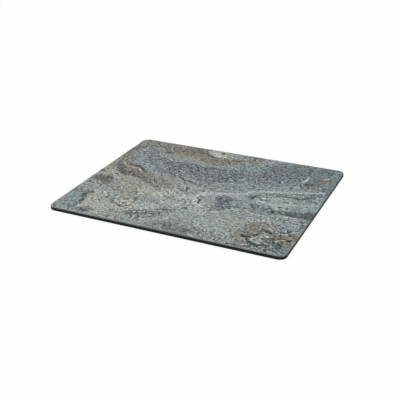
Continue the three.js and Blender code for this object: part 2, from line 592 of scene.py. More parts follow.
# %% Back edge of the print
BACK_EDGE = [
    Band("brown", [(-168, 118), (-130, 112), (-101, 107), (-76, 110), (-59, 111), (-38, 106), (-22, 100),
                   (-3, 98), (12, 103), (28, 112), (48, 120)],
         (16, 20, 24, 22, 20, 21, 22, 16, 12, 9, 6), 0.85, 8),
    Stain("violet", (-155, 118), (9, 14), 0.7),
    Band("umber", [(-150, 108), (-135, 108), (-118, 106), (-100, 98)], (3, 4, 4, 3), 0.4, 4),
    Stain("umber", (-156, 89), (7, 11), 0.7),
    Stain("violet", (-128, 122), (18, 8), 0.4, 0.6),
    Stain("umber", (-112, 116), (9, 6), 0.55, 0.6),
    Stain("steel", (-102, 106), (9, 7), 0.55, 0.6),
    Stain("umber", (-62, 119), (13, 11), 0.8, 0.5, -25),
    Stain("umber", (-80, 112), (11, 8), 0.65, 0.6),
    Stain("soot", (-60, 116), (8, 6), 0.45, 0.6, -25),
    Stain("beige", (-90, 90), (12, 5), 0.6, 0.6, 15),
    Stain("ochre", (-76, 98), (7, 4), 0.35, 0.6),
    Stain("sand", (-50, 93), (16, 7), 0.4, 0.6, -4),
    Stain("sand", (16, 92), (9, 7), 0.3, 0.6),
    Stain("mist", (-4, 119), (12, 8), 0.6),
    Stain("cream", (-29, 117), (17, 8), 0.95, 0.2, -22),
    Stain("cream", (-39, 123), (7, 5), 0.7, 0.4),
    Stain("chalk", (-28, 114), (11, 3), 0.7, 0.5, -28),
    Stain("chalk", (-15, 111), (8, 3.5), 0.6, 0.5, -10),
    Stain("cream", (-38, 113), (5, 3), 0.6),
    Stain("soot", (-22, 123), (3.5, 3), 0.8, 0.4),
    Band("ink", [(-49, 121), (-44, 113), (-38, 107), (-24, 105)], (1, 1.6, 2, 1.6), 0.8, 1.8),
    Stain("umber", (8, 108), (9, 4), 0.75, 0.5, 10),
    Stain("brown", (34, 122), (11, 6), 0.6, 0.6, 5),
    Stain("sand", (40, 116), (10, 5), 0.5, 0.6, 20),
    Stain("steel", (14, 124), (9, 5), 0.6, 0.6),
    Stain("soot", (32, 124), (4, 2.5)),
    Stain("cream", (-14, 112), (9, 4), 0.6, 0.4, -5),
    Stain("umber", (8, 114), (5, 4)),
]
print("back edge:", len(BACK_EDGE))

# %% [markdown]
# A long dark tongue runs in from the back left, inside a smooth pale halo.

# %% Tongue of the print
TONGUE = [
    Band("halo", [(-154, 84), (-142, 97), (-125, 101), (-108, 88), (-92, 78), (-67, 76), (-45, 75),
                  (-26, 73), (-9, 72), (8, 75), (32, 81), (48, 82)],
         (5, 6, 6, 8, 6, 5, 5, 4, 3.5, 3, 3, 2), 0.85, 4),
    Band("sand", [(-94, 88), (-80, 86), (-60, 84), (-40, 81), (-26, 79)], (2, 3, 2.5, 2.5, 2), 0.35, 3),
    Stain("brown", (-36, 84), (10, 4), 0.5, 0.6, -5),
    Band("ink", [(-106, 90), (-97, 97), (-90, 103)], (1.6, 2.6, 1.6), 0.8, 1.6),
    Band("blue_grey", [(-153, 87), (-146, 72), (-134, 57), (-117, 43), (-98, 32), (-80, 20)],
         (6, 9, 10, 8, 5, 3), 0.8, 5),
    Band("violet", [(-98, 34), (-78, 24), (-55, 12)], (5, 7, 5), 0.5, 6),
    Stain("mist", (-102, 36), (14, 6), 0.45, 0.6, -28),
    Band("navy", [(-142, 92), (-131, 84), (-116, 71), (-99, 58), (-82, 46), (-60, 44), (-30, 44), (0, 45),
                  (30, 50), (66, 60)], (4, 10, 12, 14, 16, 21, 23, 23, 21, 13), 0.9, 4),
    Band("slate", [(-132, 68), (-111, 52), (-88, 33), (-66, 24)], (1.5, 2, 2.5, 2), 0.6, 2),
    Stain("dove", (-42, 26), (13, 6), 0.35, 0.6, -10),
    Stain("slate", (-60, 55), (22, 9), 0.6, 0.6, 5),
    Stain("slate", (-5, 22), (12, 6), 0.55, 0.6, 5),
    Stain("steel", (46, 52), (26, 13), 0.5, 0.7, 15),
    Stain("steel", (72, 55), (14, 7), 0.6, 0.6, 15),
    Band("brown", [(-62, 26), (-54, 12), (-45, -2)], (2, 3, 2), 0.45, 3),
    Stain("slate", (-2, 46), (26, 9), 0.4, 0.7, 5),
    Stain("slate", (32, 60), (14, 7), 0.35, 0.7, 15),
    Band("soot", [(-140, 91), (-127, 96), (-116, 87), (-107, 78), (-91, 71), (-77, 63), (-66, 67),
                  (-44, 68), (-29, 66), (-13, 66), (5, 69), (24, 74), (45, 76), (62, 84)],
         (1.5, 2, 2, 2, 2, 2.2, 2, 2.2, 2, 2.4, 2, 2, 2.2, 1.5), 0.65, 2.2),
    Band("beige", [(-103, 66), (-95, 53), (-85, 40), (-72, 32)], (3, 4, 4, 3), 0.5, 4),
    Stain("mist", (-103, 75), (7, 5), 0.5, 0.6, -30),
    Stain("ink", (-137, 84), (4, 2.5), 0.6, 0.5, -30),
    Stain("ink", (-98, 72), (4, 2.5), 0.6),
    Stain("ink", (-82, 59), (3, 2.5), 0.6),
    Stain("ink", (-69, 55), (3, 3)),
    Stain("ink", (-55, 60), (4, 2)),
    Stain("ink", (-15, 67), (5, 2.5)),
    Stain("mist", (-35, 69), (8, 4), 0.6),
    Stain("umber", (-151, 94), (7, 8), 0.85),
    Stain("navy", (-10, 7), (14, 8), 0.45, 0.6, 10),
    Stain("slate", (15, 49), (5, 5)),
    Stain("slate", (-23, 50), (5, 5)),
    Stain("mist", (-20, 40), (4, 3)),
    Stain("violet", (-10, 52), (7, 5), 0.6, 0.6),
    Stain("dove", (-48, 38), (7, 5), 0.45, 0.6),
    Stain("slate", (-34, 33), (6, 4)),
    Stain("dove", (38, 46), (6, 4), 0.55),
    Stain("slate", (-100, 66), (5, 4), 0.55),
    Stain("brown", (-137, 103), (8, 4), 0.5, 0.5, 15),
    Stain("slate", (-110, 69), (4, 4)),
    Stain("slate", (-90, 64), (4, 4)),
    Stain("soot", (-150, 96), (5, 4), 0.45),
    Stain("ash", (-36, 66), (6, 3), 0.6),
    Band("ink", [(-60, 22), (-48, 21), (-40, 17), (-33, 12), (-26, 12), (-17, 6)],
         (0.8, 1.4, 2, 1.6, 2, 1), 0.85, 1.5),
]
print("tongue:", len(TONGUE))

# %% [markdown]
# The back right is a mottled blue field, with a small oval eye and a bright crack beside a brown stain.

# %% Back right of the print
BACK_RIGHT = [
    Stain("steel", (92, 90), (42, 38), 0.9, 0.4, 15),
    Stain("navy", (90, 88), (30, 26), 0.35, 0.6, 15),
    Stain("steel", (142, 112), (30, 26), 0.8, 0.6),
    Stain("blue_grey", (100, 50), (40, 13), 0.9, 0.6, 14),
    Band("halo", [(8, 10), (35, 16), (62, 28), (90, 40)], (7, 9, 9, 8), 0.8, 6),
    Stain("steel", (150, 70), (18, 36), 0.7, 0.6),
    Stain("blue_grey", (28, 92), (24, 12), 0.6, 0.5, 15),
    Stain("mist", (20, 97), (7, 5), 0.5, 0.6),
    Stain("brown", (97, 121), (14, 8), 0.55, 0.6),
    Stain("umber", (141, 87), (11, 11), 0.45, 0.6),
    Stain("umber", (134, 70), (9, 9), 0.5, 0.6),
    Stain("rust", (143, 90), (5, 3), 0.55, 0.5, 20),
    Stain("brown", (130, 54), (9, 5), 0.6),
    Stain("slate", (114, 112), (8, 10), 0.6, 0.6),
    Stain("slate", (140, 118), (9, 9), 0.5, 0.6),
    Stain("ash", (151, 114), (9, 7), 0.6),
    Stain("slate", (88, 102), (12, 8), 0.65, 0.6, 20),
    Stain("slate", (70, 108), (8, 4), 0.5, 0.6),
    Stain("slate", (80, 121), (11, 6), 0.45, 0.6),
    Stain("brown", (68, 76), (6, 7)),
    Band("soot", [(65, 88), (60, 81), (62, 72), (70, 62)], (1, 1.6, 1.8, 1.2), 0.8, 1.6),
    Band("soot", [(64, 93), (72, 89), (77, 80), (77, 68)], (1, 1.6, 1.6, 1), 0.75, 1.6),
    Band("chalk", [(122, 91), (121, 84), (119, 76), (119, 69)], (1.5, 2.5, 3, 2), 0.85, 1.8),
    Stain("cream", (147, 96), (6, 2.5), 0.6, 0.5, 25),
    Band("ink", [(120, 66), (126, 66), (132, 68), (137, 70)], (1.2, 2.6, 2.4, 1.4), 0.9, 1.6),
    Stain("chalk", (118, 53), (4, 2.5), 0.6, 0.4),
    Stain("umber", (158, 62), (4, 4), 0.7),
    Stain("ink", (67, 95), (3, 2)),
    Stain("soot", (67, 66), (7, 4), 0.65),
    Stain("soot", (125, 62), (5, 3), 0.6),
    Stain("soot", (112, 92), (5, 4)),
    Stain("slate", (150, 51), (9, 5), 0.65),
    Stain("slate", (132, 129), (32, 4), 0.55),
]
print("back right:", len(BACK_RIGHT))

# %% [markdown]
# On the left a brown drift comes down from the back edge, between two dark veins.

# %% Left drift of the print
LEFT_DRIFT = [
    Stain("sand", (-156, 10), (8, 14), 0.5, 0.6),
    Stain("umber", (-159, 76), (5, 14)),
    Band("umber", [(-164, 80), (-152, 66), (-140, 54), (-134, 44)], (4, 4, 3.5, 3), 0.6, 4),
    Band("sand", [(-152, 48), (-145, 38), (-138, 28)], (2, 2.5, 2), 0.6, 3),
    Stain("cream", (-147, 0), (9, 4), 0.7, 0.5, -10),
    Band("cream", [(-164, -16), (-152, -9), (-141, -5)], (1.5, 2.2, 1.5), 0.7, 2),
    Stain("beige", (-60, 2), (26, 10), 0.5, 0.6, -18),
    Band("brown", [(-166, 68), (-150, 46), (-136, 26), (-118, 14), (-92, 4), (-66, -4), (-42, -10)],
         (7, 9, 13, 15, 13, 10, 6), 0.8, 6),
    Band("sand", [(-140, 6), (-136, -2), (-126, -12)], (2.5, 3, 2.5), 0.65, 3),
    Band("umber", [(-154, 36), (-140, 19), (-130, 9), (-118, 3), (-106, 4), (-94, -2), (-81, -10),
                   (-70, -15)], (4, 6, 7, 7, 6, 5, 4, 3), 0.85, 3),
    Band("soot", [(-146, 42), (-138, 35), (-128, 31), (-118, 31), (-110, 27), (-104, 21), (-95, 14)],
         (1.5, 2.5, 3.2, 3.6, 3.4, 2.8, 1.5), 0.95, 1.8),
    Band("ink", [(-132, 33), (-127, 33), (-120, 31), (-113, 28), (-104, 21), (-96, 14)],
         (0.8, 1.6, 2.2, 2.6, 2.4, 1), 0.75, 1.6),
    Band("cream", [(-135, 26), (-127, 22), (-122, 24), (-116, 24), (-108, 19), (-101, 14)],
         (1.2, 1.6, 1.6, 1.6, 1.4, 1), 0.8, 1.3),
    Band("soot", [(-145, 19), (-134, 6), (-125, -2), (-115, -5), (-107, -1), (-98, -3), (-85, -11),
                  (-74, -15), (-62, -20)], (1, 1.6, 2, 2, 1.6, 1.8, 1.8, 1.6, 1), 0.85, 1.6),
    Stain("soot", (-122, 3), (11, 5), 0.7, 0.5, -15),
    Band("soot", [(-153, 34), (-148, 25), (-142, 18), (-133, 9), (-123, 2), (-115, 5), (-104, 6)],
         (2, 3, 3, 3, 3.5, 3, 2), 0.6, 2.5),
    Band("gold", [(-153, 47), (-144, 34), (-137, 25)], (1.5, 2, 1.5), 0.5, 2),
    Stain("dove", (-77, 4), (12, 7), 0.45, 0.6, -30),
    Stain("dove", (-59, 0), (8, 5), 0.4, 0.6, -20),
    Stain("cream", (-141, 35), (5, 5), 0.6),
    Band("brown", [(-64, -13), (-48, -17), (-34, -19)], (4, 5, 3), 0.6, 3),
    Stain("soot", (-148, 24), (7, 6), 0.5, 0.5, -20),
    Stain("soot", (-160, -4), (5, 4), 0.7),
    Stain("umber", (-137, 40), (4, 4)),
    Stain("umber", (-153, -6), (4, 3), 0.4),
    Stain("beige", (-85, 12), (5, 4), 0.55),
    Stain("umber", (-125, 16), (5, 4), 0.6, 0.5, -20),
]
print("left drift:", len(LEFT_DRIFT))

# %% [markdown]
# The front left is a pale crust with a curled ring, a teal hollow at the edge and a dark swirl in front.

# %% Front left of the print
FRONT_LEFT = [
    Stain("beige", (-92, -28), (38, 19), 0.65, 0.7, -18),
    Stain("cream", (-40, -40), (28, 16), 0.55, 0.8),
    Stain("cream", (-98, -106), (32, 20), 0.65, 0.8),
    Stain("ash", (-140, -55), (24, 10), 0.4, 0.7, -10),
    Stain("umber", (-142, -27), (15, 10), 0.9, 0.3, -15),
    Stain("soot", (-134, -23), (7, 7), 0.75, 0.4),
    Stain("soot", (-142, -27), (10, 6), 0.5, 0.5, -15),
    Stain("soot", (-132, -37), (6, 8), 0.5, 0.5, -20),
    Stain("umber", (-111, -48), (6, 4)),
    Stain("cream", (-129, -19), (5, 4)),
    Stain("rust", (-139, -42), (7, 3), 0.3, 0.6, -20),
    Stain("umber", (-158, -29), (6, 6)),
    Stain("blue_grey", (-146, -112), (14, 14), 0.6, 0.6),
    Stain("beige", (-144, -126), (8, 4)),
    Stain("slate", (-114, -121), (11, 6), 0.85, 0.5, 15),
    Stain("slate", (-85, -125), (11, 2.5), 0.6, 0.5, 12),
    Stain("mist", (-75, -121), (9, 5), 0.5, 0.6),
    Stain("slate", (-136, -121), (7, 5)),
    Stain("umber", (-131, -43), (6, 4), 0.45),
    Stain("teal", (-151, -87), (12, 13), 0.95, 0.25),
    Stain("umber", (-151, -76), (11, 4), 0.7),
    Band("cream", [(-127, -72), (-122, -88), (-124, -101), (-123, -112), (-108, -117)],
         (4, 6, 7, 6, 4), 0.65, 3.5),
    Band("slate", [(-130, -70), (-138, -77), (-139, -84), (-134, -93), (-132, -101), (-130, -112),
                   (-130, -122)], (2.5, 4, 4.5, 3.5, 4, 3, 2.5), 0.85, 2),
    Stain("soot", (-139, -83), (4, 5), 0.75, 0.4),
    Stain("soot", (-134, -72), (6, 4), 0.85, 0.4, 20),
    Stain("chalk", (-128, -65), (10, 5), 0.45, 0.6),
    Stain("chalk", (-110, -67), (8, 5), 0.4, 0.6),
    Stain("slate", (-114, -116), (6, 3.5), 0.5, 0.5, 10),
    Stain("soot", (-131, -103), (3, 5), 0.6),
    Stain("umber", (-134, -96), (3, 4), 0.6),
    Stain("chalk", (-47, -42), (10, 5), 0.85, 0.4, 20),
    Stain("white", (-37, -30), (9, 3.5), 0.6, 0.4),
    Band("ink", [(-47, -31), (-42, -30), (-38, -32), (-34, -36), (-29, -35)],
         (0.8, 1.2, 1.4, 1.2, 0.8), 0.75, 1.3),
    Stain("slate", (-60, -22), (7, 3), 0.6, 0.5, -20),
    Stain("cream", (-80, -77), (13, 12), 0.75, 0.4),
    Band("umber", [(-96, -77), (-92, -86), (-81, -92), (-73, -93), (-67, -87)],
         (1, 1.6, 1.6, 1.6, 1), 0.85, 1.4),
    Band("umber", [(-69, -89), (-65, -78), (-66, -68), (-76, -62)], (1.2, 1.8, 2, 1), 0.85, 1.4),
    Band("brown", [(-91, -75), (-87, -81), (-80, -84), (-73, -81), (-72, -75)],
         (0.8, 1.2, 1.2, 1.2, 0.8), 0.7, 1.3),
    Band("brown", [(-94, -74), (-92, -64), (-85, -60), (-76, -60)], (0.8, 1.2, 1.2, 0.8), 0.5, 1.5),
    Stain("gold", (-87, -66), (5, 3.5), 0.7, 0.5, -20),
    Stain("cream", (-95, -62), (6, 4)),
    Stain("brown", (-81, -70), (7, 5)),
    Stain("soot", (-80, -73), (3, 2), 0.6),
    Stain("soot", (-67, -67), (3, 2.5), 0.7),
    Band("sand", [(-120, -16), (-108, -25), (-96, -23), (-84, -30)], (1, 1.6, 1.6, 1), 0.6, 1.8),
    Band("sand", [(-126, -50), (-113, -52), (-100, -46), (-88, -42), (-74, -48)],
         (1, 1.6, 1.6, 1.6, 1), 0.6, 1.8),
    Band("sand", [(-74, -40), (-60, -46), (-48, -44), (-36, -52)], (1, 1.5, 1.5, 1), 0.5, 1.8),
    Band("mist", [(-60, -92), (-45, -84), (-30, -78)], (5, 7, 5), 0.6, 5),
    Band("cream", [(-66, -68), (-60, -88), (-52, -102)], (5, 6, 4), 0.5, 5),
    Stain("chalk", (-27, -64), (10, 6), 0.5, 0.6),
    Stain("chalk", (-44, -79), (14, 9), 0.4, 0.6, 20),
    Band("cream", [(-32, -122), (-18, -106), (0, -92)], (7, 8, 7), 0.45, 7),
    Band("ash", [(-62, -122), (-36, -124), (-10, -124)], (5, 7, 7), 0.5, 5),
    Band("steel", [(-54, -110), (-44, -106), (-30, -97), (-16, -88), (-5, -74)],
         (3, 5, 4, 3.5, 2.5), 0.4, 3),
    Stain("slate", (-45, -104), (6, 4), 0.4, 0.5, 20),
    Stain("slate", (-19, -98), (5, 7), 0.5, 0.5, -30),
    Stain("mist", (-58, -102), (6, 5), 0.5, 0.6),
    Stain("soot", (-79, -109), (4, 3)),
    Band("brown", [(-44, -39), (-28, -46), (-12, -49), (3, -50)], (2, 3, 3, 2), 0.6, 3),
    Stain("cream", (-48, -116), (7, 3), 0.7, 0.5, 10),
    Band("chalk", [(-56, -112), (-46, -108), (-36, -98), (-22, -91)], (0.8, 1.3, 1.3, 0.8), 0.7, 1.3),
    Band("ink", [(-64, -112), (-61, -104), (-52, -98), (-44, -94), (-36, -88), (-26, -84), (-12, -76)],
         (1, 1.4, 1.4, 1.6, 1.4, 1.3, 1), 0.65, 1.5),
    Band("ink", [(-60, -111), (-50, -104), (-42, -102), (-34, -95)], (1, 2, 1.6, 1), 0.6, 1.6),
    Band("ink", [(-50, -120), (-40, -112), (-30, -108), (-22, -98)], (0.8, 1.4, 1.2, 0.8), 0.6, 1.5),
    Band("soot", [(-28, -86), (-20, -82), (-13, -79), (-4, -72)], (1.2, 2, 2, 1.2), 0.65, 1.6),
    Stain("chalk", (-21, -86), (4, 2.5), 0.8, 0.4),
    Stain("chalk", (-36, -84), (7, 5), 0.55),
    Stain("chalk", (-43, -89), (3.5, 6), 0.5, 0.5, -20),
    Stain("umber", (-11, -82), (6, 5), 0.6),
    Stain("umber", (-30, -94), (6, 3)),
    Stain("slate", (-43, -106), (7, 5), 0.35),
    Band("slate", [(-46, -107), (-33, -98), (-23, -90), (-15, -81), (-5, -72), (4, -66)],
         (2, 2.5, 2.5, 2, 2, 1), 0.35, 2.5),
    Stain("slate", (-158, -68), (5, 5)),
    Stain("chalk", (-52, -89), (5, 4), 0.45),
]
print("front left:", len(FRONT_LEFT))

# %% [markdown]
# From the middle to the right edge lies a long lens of layered stone: a pale rim, smooth lobes, dark
# wedges and fine veins that run on to the edge.

# %% Lens of the print
LENS = [
    Stain("ash", (122, 12), (58, 34), 0.8, 0.5, 8),
    Stain("mist", (-8, -38), (20, 15), 0.5, 0.7, -20),
    Stain("mist", (-21, -20), (8, 5), 0.65, 0.6),
    Stain("dove", (22, -31), (16, 14), 0.9, 0.3, -30),
    Stain("slate", (43, -30), (11, 20), 0.85, 0.25, 22),
    Stain("soot", (50, -20), (3, 8), 0.5, 0.5, 10),
    Stain("soot", (31, -24), (3, 6), 0.5, 0.5, 20),
    Stain("ash", (55, -9), (9, 8), 0.9, 0.2),
    Stain("ash", (61, -25), (12, 7), 0.9, 0.2, 15),
    Stain("ash", (69, -4), (9, 15), 0.9, 0.2, -10),
    Stain("chalk", (51, -8), (6, 5), 0.45),
    Band("slate", [(45, -20), (53, -18), (63, -15)], (3, 2, 0.8), 0.9, 1.5),
    Band("slate", [(51, -34), (58, -36), (66, -38)], (2.5, 2.2, 1.2), 0.7, 2),
    Stain("mist", (122, -3), (46, 13), 0.75, 0.4, 8),
    Stain("blue_grey", (92, -26), (14, 9), 0.85, 0.25, -5),
    Stain("ash", (98, -19), (6, 4), 0.55),
    Stain("violet", (104, -30), (7, 7), 0.7, 0.4),
    Band("steel", [(62, -34), (80, -37), (102, -38)], (3, 4, 3), 0.5, 3),
    Band("slate", [(98, -36), (113, -30), (131, -28), (146, -26), (168, -20)], (3, 6, 7, 9, 11), 0.85, 4),
    Stain("mist", (114, -20), (14, 6), 0.8, 0.4, 10),
    Stain("ink", (136, -31), (6, 4)),
    Stain("soot", (156, -24), (10, 8), 0.4, 0.6),
    Band("steel", [(80, 16), (98, 20), (116, 24)], (2, 3, 2.5), 0.6, 2.5),
    Band("soot", [(93, 15), (107, 16), (118, 19), (131, 19), (143, 29), (150, 32)],
         (0.8, 1.4, 2, 3, 2.4, 1), 0.8, 2),
    Band("slate", [(110, 28), (130, 34), (151, 37), (163, 37)], (1.5, 2.2, 2.4, 1.5), 0.8, 2),
    Stain("slate", (148, 17), (5, 3), 0.6),
    Band("chalk", [(62, 12), (48, 1), (28, -8), (12, -14), (1, -25)], (3, 3.5, 4, 4.5, 4), 0.75, 3.5),
    Band("chalk", [(3, -19), (4, -30), (8, -42), (20, -49), (31, -50)], (4, 4.5, 4.5, 3.5, 2.5), 0.85, 3.5),
    Band("chalk", [(56, 5), (66, 14), (79, 23), (92, 26), (109, 31), (132, 41), (160, 51)],
         (3, 2.6, 2.6, 3, 2.6, 2.6, 2.2), 0.8, 2.4),
    Band("chalk", [(5, -48), (15, -56), (26, -66), (34, -76)], (4, 5, 6, 4), 0.65, 5),
    Stain("chalk", (-10, -36), (12, 6), 0.55, 0.6, 10),
    Stain("chalk", (-7, -46), (6, 4), 0.35, 0.6),
    Stain("chalk", (-2, -26), (5, 4)),
    Band("mist", [(0, -9), (10, -1), (22, 8)], (3, 3, 3), 0.6, 3),
    Stain("chalk", (10, -41), (7, 5), 0.7),
    Band("ink", [(8, -24), (6, -32), (11, -36), (12, -42), (18, -45)], (0.8, 1.4, 1.4, 1.4, 0.8), 0.9, 1.2),
    Band("chalk", [(17, -46), (23, -42), (29, -45)], (1.2, 1.8, 1.2), 0.7, 1.5),
    Stain("ash", (48, -39), (5, 4)),
    Band("ink", [(80, 12), (76, 3), (75, -3), (70, -9)], (0.8, 1.8, 2, 1), 0.9, 1.4),
    Stain("ink", (71, -2), (3, 2), 0.7),
    Band("soot", [(75, -17), (83, -22), (82, -28), (90, -33)], (1, 1.6, 1.6, 1), 0.8, 1.5),
    Stain("soot", (86, -19), (3, 1.6), 0.7),
    Band("soot", [(97, -28), (104, -23), (109, -26), (113, -36)], (1.2, 1.8, 2.4, 1.4), 0.85, 1.6),
    Band("chalk", [(33, -63), (43, -60), (52, -52), (59, -46), (66, -39)],
         (1, 1.4, 1.6, 1.6, 1.2), 0.65, 1.8),
    Band("chalk", [(65, -38), (74, -38), (84, -43), (98, -45), (106, -45), (114, -41), (123, -35),
                   (132, -37), (166, -36)], (1, 1.4, 1.4, 1.2, 1.4, 1.8, 1.8, 1.6, 1.4), 0.65, 1.8),
    Band("chalk", [(82, 2), (92, 4), (104, 9), (118, 15)], (1, 1.5, 1.5, 1), 0.65, 1.8),
    Band("chalk", [(78, 0), (90, -8), (99, -13), (112, -9), (124, -3), (142, 1)],
         (1.2, 2.2, 2.2, 1.8, 1.6, 1), 0.75, 2),
    Stain("chalk", (84, 0), (7, 4), 0.6),
    Stain("blue_grey", (133, 5), (6, 4), 0.6),
    Stain("chalk", (113, -22), (9, 4), 0.4, 0.5, 10),
    Stain("steel", (110, -40), (10, 3), 0.5, 0.5, 12),
    Stain("slate", (148, 14), (7, 3)),
    Stain("white", (-18, -34), (6, 4)),
    Stain("white", (-43, -42), (4, 3.5)),
    Stain("blue_grey", (136, -11), (9, 4), 0.5, 0.6),
    Stain("chalk", (64, -48), (5, 3), 0.4),
    Stain("soot", (157, -34), (5, 3)),
    Band("soot", [(24, -46), (31, -51), (42, -53), (50, -52), (56, -48)],
         (0.8, 1.2, 1.2, 1.2, 0.8), 0.5, 1.4),
]
print("lens:", len(LENS))

# %% [markdown]
# The front right is speckled grey, and ends in a rusty knot with black cracks and white crusts.

# %% Front right of the print
FRONT_RIGHT = [
    Stain("ash", (112, -52), (56, 12), 0.5, 0.7),
    Stain("chalk", (114, -57), (14, 5), 0.4, 0.6),
    Stain("mist", (46, -80), (44, 26), 0.7, 0.7),
    Stain("mist", (1, -76), (13, 16), 0.5, 0.6),
    Stain("chalk", (-9, -60), (8, 5), 0.45, 0.6),
    Stain("beige", (72, -84), (18, 20), 0.3, 0.7),
    Stain("mist", (56, -100), (22, 10), 0.5, 0.7),
    Stain("mist", (94, -63), (12, 7), 0.6),
    Stain("ink", (31, -120), (5, 4), 0.6),
    Stain("soot", (16, -122), (36, 12), 0.33, 0.6),
    Stain("steel", (144, -119), (28, 11), 0.65, 0.6),
    Band("brown", [(95, -88), (100, -78), (108, -72), (118, -70), (128, -73)], (5, 8, 8, 5, 2), 0.6, 6),
    Stain("brown", (104, -88), (8, 8), 0.6),
    Stain("brown", (97, -109), (9, 8), 0.6, 0.6),
    Band("brown", [(129, -92), (138, -88), (147, -86), (162, -84)], (4, 6, 7, 8), 0.8, 4),
    Band("umber", [(131, -98), (140, -95), (152, -92)], (2, 3, 3), 0.5, 3),
    Stain("umber", (101, -117), (7, 4)),
    Stain("ochre", (93, -109), (4, 5), 0.3),
    Stain("umber", (101, -99), (20, 8), 0.35, 0.6),
    Stain("blue_grey", (146, -71), (13, 5), 0.7, 0.5, 15),
    Stain("slate", (137, -67), (8, 4)),
    Stain("mist", (125, -110), (13, 4), 0.7, 0.4, 5),
    Band("chalk", [(109, -111), (115, -105), (119, -98), (127, -90)], (2.5, 4, 3, 2), 0.45, 2),
    Band("rust", [(108, -70), (115, -66), (121, -67), (129, -70)], (1.5, 2.2, 1.6, 1), 0.55, 2),
    Band("rust", [(118, -104), (124, -102), (131, -103)], (1.5, 2.2, 1.5), 0.85, 1.6),
    Stain("brown", (136, -105), (6, 4)),
    Band("soot", [(128, -105), (136, -107), (143, -106)], (1.6, 2.2, 1.4), 0.8, 1.6),
    Band("ochre", [(144, -104), (151, -104), (158, -99)], (1, 1.8, 1), 0.85, 1.5),
    Stain("gold", (158, -91), (4, 2.5), 0.6, 0.5, 20),
    Band("chalk", [(137, -82), (143, -81), (148, -83)], (0.8, 1.3, 1), 0.7, 1.2),
    Band("chalk", [(147, -82), (150, -76), (156, -70)], (1, 1.3, 0.8), 0.7, 1.2),
    Band("ink", [(135, -78), (142, -78), (147, -79)], (0.8, 1.2, 1), 0.75, 1.2),
    Band("ink", [(146, -79), (148, -74), (152, -70)], (1, 1.2, 0.8), 0.7, 1.2),
    Stain("soot", (103, -104), (6, 4), 0.7),
    Band("ink", [(95, -99), (102, -105), (107, -103), (111, -97), (118, -94)],
         (1.4, 2.8, 2.4, 2, 1), 0.95, 1.4),
    Band("ink", [(113, -77), (120, -80), (124, -82), (131, -87)], (1.2, 2, 2.8, 1.4), 0.9, 1.4),
    Band("soot", [(114, -94), (116, -87), (117, -79)], (1.4, 2.2, 1.2), 0.75, 1.6),
    Band("ink", [(109, -113), (116, -117), (122, -118), (128, -116), (138, -116)],
         (1.8, 3.2, 3, 2.4, 1.4), 0.95, 1.6),
    Stain("soot", (113, -126), (6, 2.5), 0.6),
    Stain("soot", (140, -124), (7, 2.5), 0.5, 0.5, 10),
    Stain("gold", (133, -125), (2.5, 2)),
    Stain("soot", (5, -66), (4, 3), 0.7),
    Stain("mist", (46, -127), (12, 5), 0.6),
    Stain("mist", (90, -127), (9, 4)),
    Stain("mist", (156, -56), (7, 5), 0.6),
    Stain("umber", (109, -119), (5, 4)),
    Stain("chalk", (10, -63), (3, 2.5), 0.6),
    Stain("umber", (124, -96), (4, 3), 0.4),
    Stain("umber", (157, -104), (5, 4)),
    Stain("chalk", (110, -63), (5, 3)),
]
PRINT_AREAS = [BACK_EDGE, BACK_RIGHT, TONGUE, LEFT_DRIFT, FRONT_LEFT, FRONT_RIGHT, LENS]
print("features in all:", sum(len(area) for area in PRINT_AREAS))

# %% [markdown]
# Cleft stone breaks in thin layers, and their edges show as fine contour lines. Wave textures would draw
# them too evenly, so they come from a height: slow noise plus a swell on each main form, so that the lines
# follow the forms. The height's fraction gives each layer a dark foot and a pale crest. A second, finer set
# of layers comes from noise alone. A swell is a stain or a band without a colour.

# %% Layers of the stone
SWELLS = [
    Stain(None, (-80, -76), (26, 23), 0.5, 0.9),
    Band(None, [(-166, 68), (-138, 30), (-92, 4), (-40, -20)], (10, 20, 20, 8), 0.6, 22),
    Band(None, [(-150, 92), (-108, 70), (-50, 48), (30, 52), (80, 74)], (12, 22, 32, 30, 20), 0.8, 30),
    Band(None, [(-70, -112), (-40, -104), (-14, -84), (0, -66)], (8, 18, 16, 8), 0.5, 16),
    Band(None, [(0, -30), (50, -20), (110, -4), (168, 8)], (14, 30, 36, 40), 0.4, 30),
    Stain(None, (-145, -86), (24, 26), 0.5, 0.9),
]
FORM_SIZE = 60
FINE_FORM_SIZE = 24
COARSE_LEDGES = 10
FINE_LEDGES = 8
FOOT_END = 0.28
FOOT_SHARE = 0.33
CREST_START = 0.72
CREST_SHARE = 0.17


def noise(tree, place, size, detail=2.0, roughness=0.5):
    """Cloudy noise whose blots are about this many millimetres across."""
    inputs = {"Vector": place, "Scale": 1 / size, "Detail": detail, "Roughness": roughness}
    return add_node(tree, "ShaderNodeTexNoise", inputs, noise_dimensions="2D")


def share_of(tree, place, feature):
    """The share of a stain or a band at the place."""
    if isinstance(feature, Stain):
        return stain_share(tree, place, feature)
    return band_share(tree, place, feature)


def raised(tree, place, level, features):
    """The level, with the shares of all these features added."""
    for feature in features:
        level = maths(tree, "ADD", level, share_of(tree, place, feature))
    return level


def ledges(tree, height, count):
    """How dark the foot of each ledge is, and how pale its crest."""
    part = maths(tree, "FRACT", maths(tree, "MULTIPLY", height, count))
    foot = soft_step(tree, part, 0, FOOT_END, FOOT_SHARE, 0)
    return foot, soft_step(tree, part, CREST_START, 1, 0, CREST_SHARE)


def layers(tree, place):
    """How dark the feet of both sets of ledges are, and how pale their crests."""
    forms = raised(tree, place, noise(tree, place, FORM_SIZE).outputs["Fac"], SWELLS)
    coarse_foot, coarse_crest = ledges(tree, forms, COARSE_LEDGES)
    fine_forms = noise(tree, place, FINE_FORM_SIZE, detail=3).outputs["Fac"]
    fine_foot, fine_crest = ledges(tree, fine_forms, FINE_LEDGES)
    return maths(tree, "ADD", coarse_foot, fine_foot), maths(tree, "ADD", coarse_crest, fine_crest)


